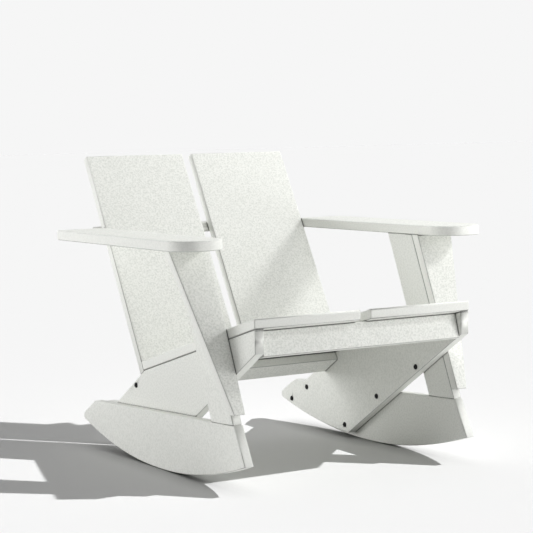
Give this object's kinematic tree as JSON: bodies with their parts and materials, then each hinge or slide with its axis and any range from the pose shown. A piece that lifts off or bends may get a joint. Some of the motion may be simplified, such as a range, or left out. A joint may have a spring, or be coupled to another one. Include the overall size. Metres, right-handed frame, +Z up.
{
  "type": "rocking adirondack chair",
  "caption": "Low rocking lounge chair of flat off-white plastic boards: split seat and back, wide flat arms on leaning posts, curved rocker boards.",
  "frame": {"origin": "on the floor, under the middle of the chair's box", "axes": "+Z up, the chair faces -Y, +X is the sitter's left"},
  "size_m": [0.78, 0.7827, 0.6834],
  "materials": {
    "black_steel": "black coated stainless steel",
    "white_hdpe": "off-white recycled HDPE board with a fine pale speckle, matt, edges rounded by a router"
  },
  "bodies": {
    "root": {"apron_tenons": "white_hdpe", "arm_back_tenons": "white_hdpe", "arm_post_front_left": "white_hdpe", "arm_post_front_right": "white_hdpe", "arm_post_side_left": "white_hdpe", "arm_post_side_right": "white_hdpe", "arm_post_tenons": "white_hdpe", "armrest_left": "white_hdpe", "armrest_right": "white_hdpe", "back_foot_tenons": "white_hdpe", "back_slat_left": "white_hdpe", "back_slat_right": "white_hdpe", "front_apron": "white_hdpe", "lower_back_rail": "white_hdpe", "lower_rail_bolts": "black_steel", "post_board_tenons": "white_hdpe", "post_foot_tenons": "white_hdpe", "post_screws": "black_steel", "rocker_left": "white_hdpe", "rocker_right": "white_hdpe", "rocker_screws": "black_steel", "seat_slat_left": "white_hdpe", "seat_slat_right": "white_hdpe", "seat_tenons": "white_hdpe", "side_panel_left": "white_hdpe", "side_panel_right": "white_hdpe", "upper_back_rail": "white_hdpe", "upper_rail_tenons": "white_hdpe"}
  },
  "joints": []
}
